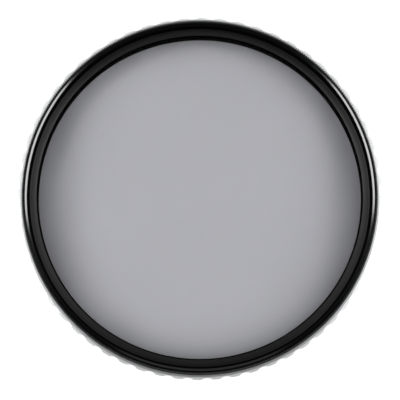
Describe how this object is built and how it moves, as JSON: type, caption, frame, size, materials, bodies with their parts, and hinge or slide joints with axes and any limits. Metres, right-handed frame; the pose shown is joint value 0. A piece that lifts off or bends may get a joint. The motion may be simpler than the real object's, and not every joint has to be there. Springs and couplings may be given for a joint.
{
  "type": "circular polarising filter",
  "caption": "Round screw in polarising lens filter: a black knurled front ring with grey glass turns in a bright scalloped rear ring with a lens thread.",
  "frame": {"origin": "on the optical axis, at the rear end of the male thread, where the filter lies on a table", "axes": "+Z along the optical axis, out of the front of the filter"},
  "size_m": [0.082, 0.082, 0.0076],
  "materials": {
    "clear_anodised": "satin turned, clear anodised",
    "spring_steel": "drawn wire",
    "black_anodised": "semi-gloss black anodised",
    "black_turned": "matt black anodised with fine turning marks",
    "filter_glass": "polished and coated",
    "polariser": "neutral grey film",
    "retarder": "clear film"
  },
  "bodies": {
    "rear": {"rear_ring": "clear_anodised", "snap_ring": "spring_steel"},
    "front": {"front_ring": "black_anodised", "retaining_ring": "black_turned", "front_glass": "filter_glass", "polarising_film": "polariser", "retarder_film": "retarder", "rear_glass": "filter_glass"}
  },
  "joints": [
    {"name": "front_turn", "type": "hinge", "parent": "rear", "child": "front", "pos_m": [0, 0, 0.004], "axis": [0, 0, 1], "continuous": true}
  ]
}
